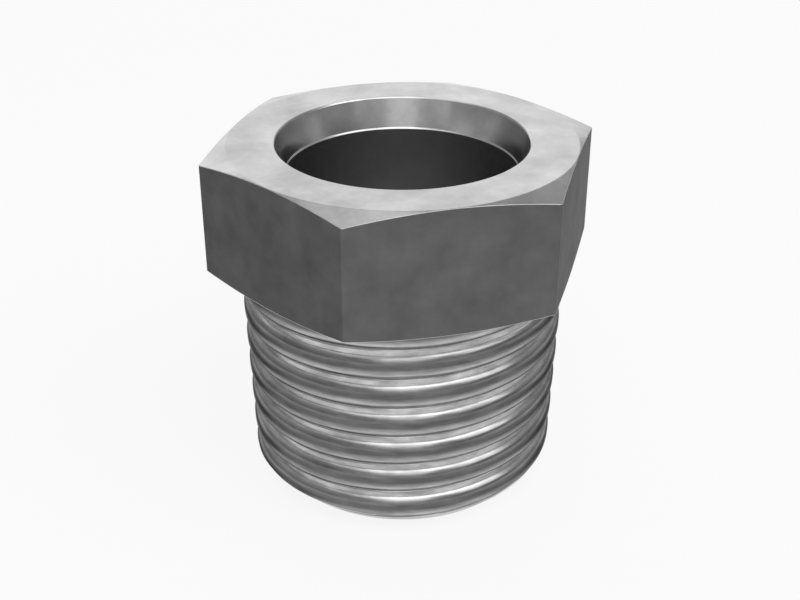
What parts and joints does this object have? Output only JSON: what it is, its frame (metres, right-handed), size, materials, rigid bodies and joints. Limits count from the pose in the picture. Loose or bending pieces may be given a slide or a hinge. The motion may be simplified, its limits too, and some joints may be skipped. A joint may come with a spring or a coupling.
{
  "type": "straight pipe adapter",
  "caption": "Hexagon-headed straight pipe adapter with a taper-threaded shank and a smooth through bore led in by a shallow cone.",
  "frame": {"origin": "centre of the threaded end's face", "axes": "+Z along the bore's axis, from the threaded end towards the head; +X through a corner of the hexagon, +Y square to a flat"},
  "size_m": [0.0162, 0.014, 0.0146],
  "materials": {
    "turned_steel": "machined steel with a faint cloudy mottle: dull grey drawn flats and thread lands, bright turned faces, bore mouth and thread grooves"
  },
  "bodies": {
    "root": {"adapter_body": "turned_steel"}
  },
  "joints": []
}
